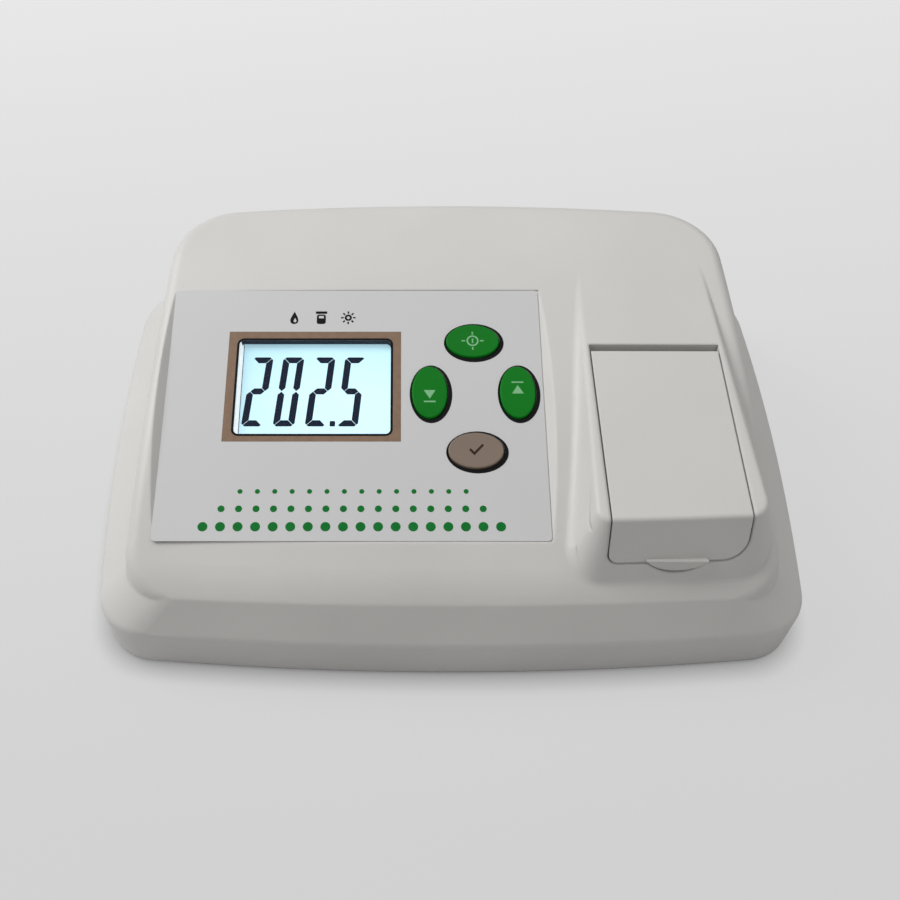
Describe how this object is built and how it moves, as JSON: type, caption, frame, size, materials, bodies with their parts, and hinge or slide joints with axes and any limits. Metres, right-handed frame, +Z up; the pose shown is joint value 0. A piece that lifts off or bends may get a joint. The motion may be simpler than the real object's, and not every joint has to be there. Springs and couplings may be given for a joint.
{
  "type": "water testing colorimeter",
  "caption": "Bench water-testing colorimeter: sloped panel with a liquid-crystal display and oval keys, hinged sample lid over a round vial well, rear power rocker.",
  "frame": {"origin": "on the bench, under the middle of the bounding box", "axes": "+X to the right and +Y to the rear seen by someone using it, +Z up; the keys and display face -Y and up"},
  "size_m": [0.2694, 0.19, 0.0753],
  "materials": {
    "housing_plastic": "fine satin texture",
    "lid_plastic": "fine satin texture",
    "cover_plastic": "fine texture",
    "foot_rubber": "matte",
    "screw_steel": "zinc plated",
    "label_film": "matte polyester film",
    "window_acrylic": "clear",
    "lcd_glass": "satin polariser",
    "backlight_plastic": "diffusing",
    "black_plastic": "matte",
    "circuit_board": "solder resist",
    "component_plastic": "moulded",
    "ribbon_film": "flexible",
    "green_key": "satin",
    "taupe_key": "satin",
    "seal_foam": "soft closed-cell foam",
    "lamp_epoxy": "clear epoxy",
    "filter_glass": "coloured glass",
    "nickel_can": "nickel plated"
  },
  "bodies": {
    "housing": {"upper_housing": "housing_plastic", "bottom_cover": "cover_plastic", "rubber_feet": "foot_rubber", "housing_screws": "screw_steel", "front_overlay": "label_film", "display_window": "window_acrylic", "lcd_glass": "lcd_glass", "lcd_backlight": "backlight_plastic", "lcd_holder": "black_plastic", "display_board": "circuit_board", "display_ribbon": "ribbon_film", "key_switches": "component_plastic", "cell_holder": "black_plastic", "cell_holder_screws": "screw_steel", "well_seal": "seal_foam", "lamp": "lamp_epoxy", "lamp_board": "circuit_board", "optical_filter": "filter_glass", "photodiode": "nickel_can", "detector_board": "circuit_board", "board_screws": "screw_steel", "main_board": "circuit_board", "main_board_parts": "component_plastic", "dc_inlet": "black_plastic", "dc_inlet_nut": "nickel_can", "switch_frame": "black_plastic"},
    "lid": {"sample_lid": "lid_plastic", "lid_hinge_pins": "screw_steel"},
    "rocker": {"power_rocker": "black_plastic"},
    "top_button": {"key_top": "green_key", "plunger_top": "component_plastic"},
    "left_button": {"key_left": "green_key", "plunger_left": "component_plastic"},
    "right_button": {"key_right": "green_key", "plunger_right": "component_plastic"},
    "bottom_button": {"key_bottom": "taupe_key", "plunger_bottom": "component_plastic"}
  },
  "joints": [
    {"name": "lid_hinge", "type": "hinge", "parent": "housing", "child": "lid", "pos_m": [0.0766, -0.0012, 0.0639], "axis": [-1, 0, 0], "range_deg": [0, 115]},
    {"name": "power_switch", "type": "hinge", "parent": "housing", "child": "rocker", "pos_m": [0.013, 0.0804, 0.05], "axis": [1, 0, 0], "range_deg": [0, 16]},
    {"name": "top_key_press", "type": "slide", "parent": "housing", "child": "top_button", "axis": [0, 0.2565, -0.9666], "range_m": [0, 0.0005], "stiffness_N_per_m": 600},
    {"name": "left_key_press", "type": "slide", "parent": "housing", "child": "left_button", "axis": [0, 0.2565, -0.9666], "range_m": [0, 0.0005], "stiffness_N_per_m": 600},
    {"name": "right_key_press", "type": "slide", "parent": "housing", "child": "right_button", "axis": [0, 0.2565, -0.9666], "range_m": [0, 0.0005], "stiffness_N_per_m": 600},
    {"name": "bottom_key_press", "type": "slide", "parent": "housing", "child": "bottom_button", "axis": [0, 0.2565, -0.9666], "range_m": [0, 0.0005], "stiffness_N_per_m": 600}
  ]
}
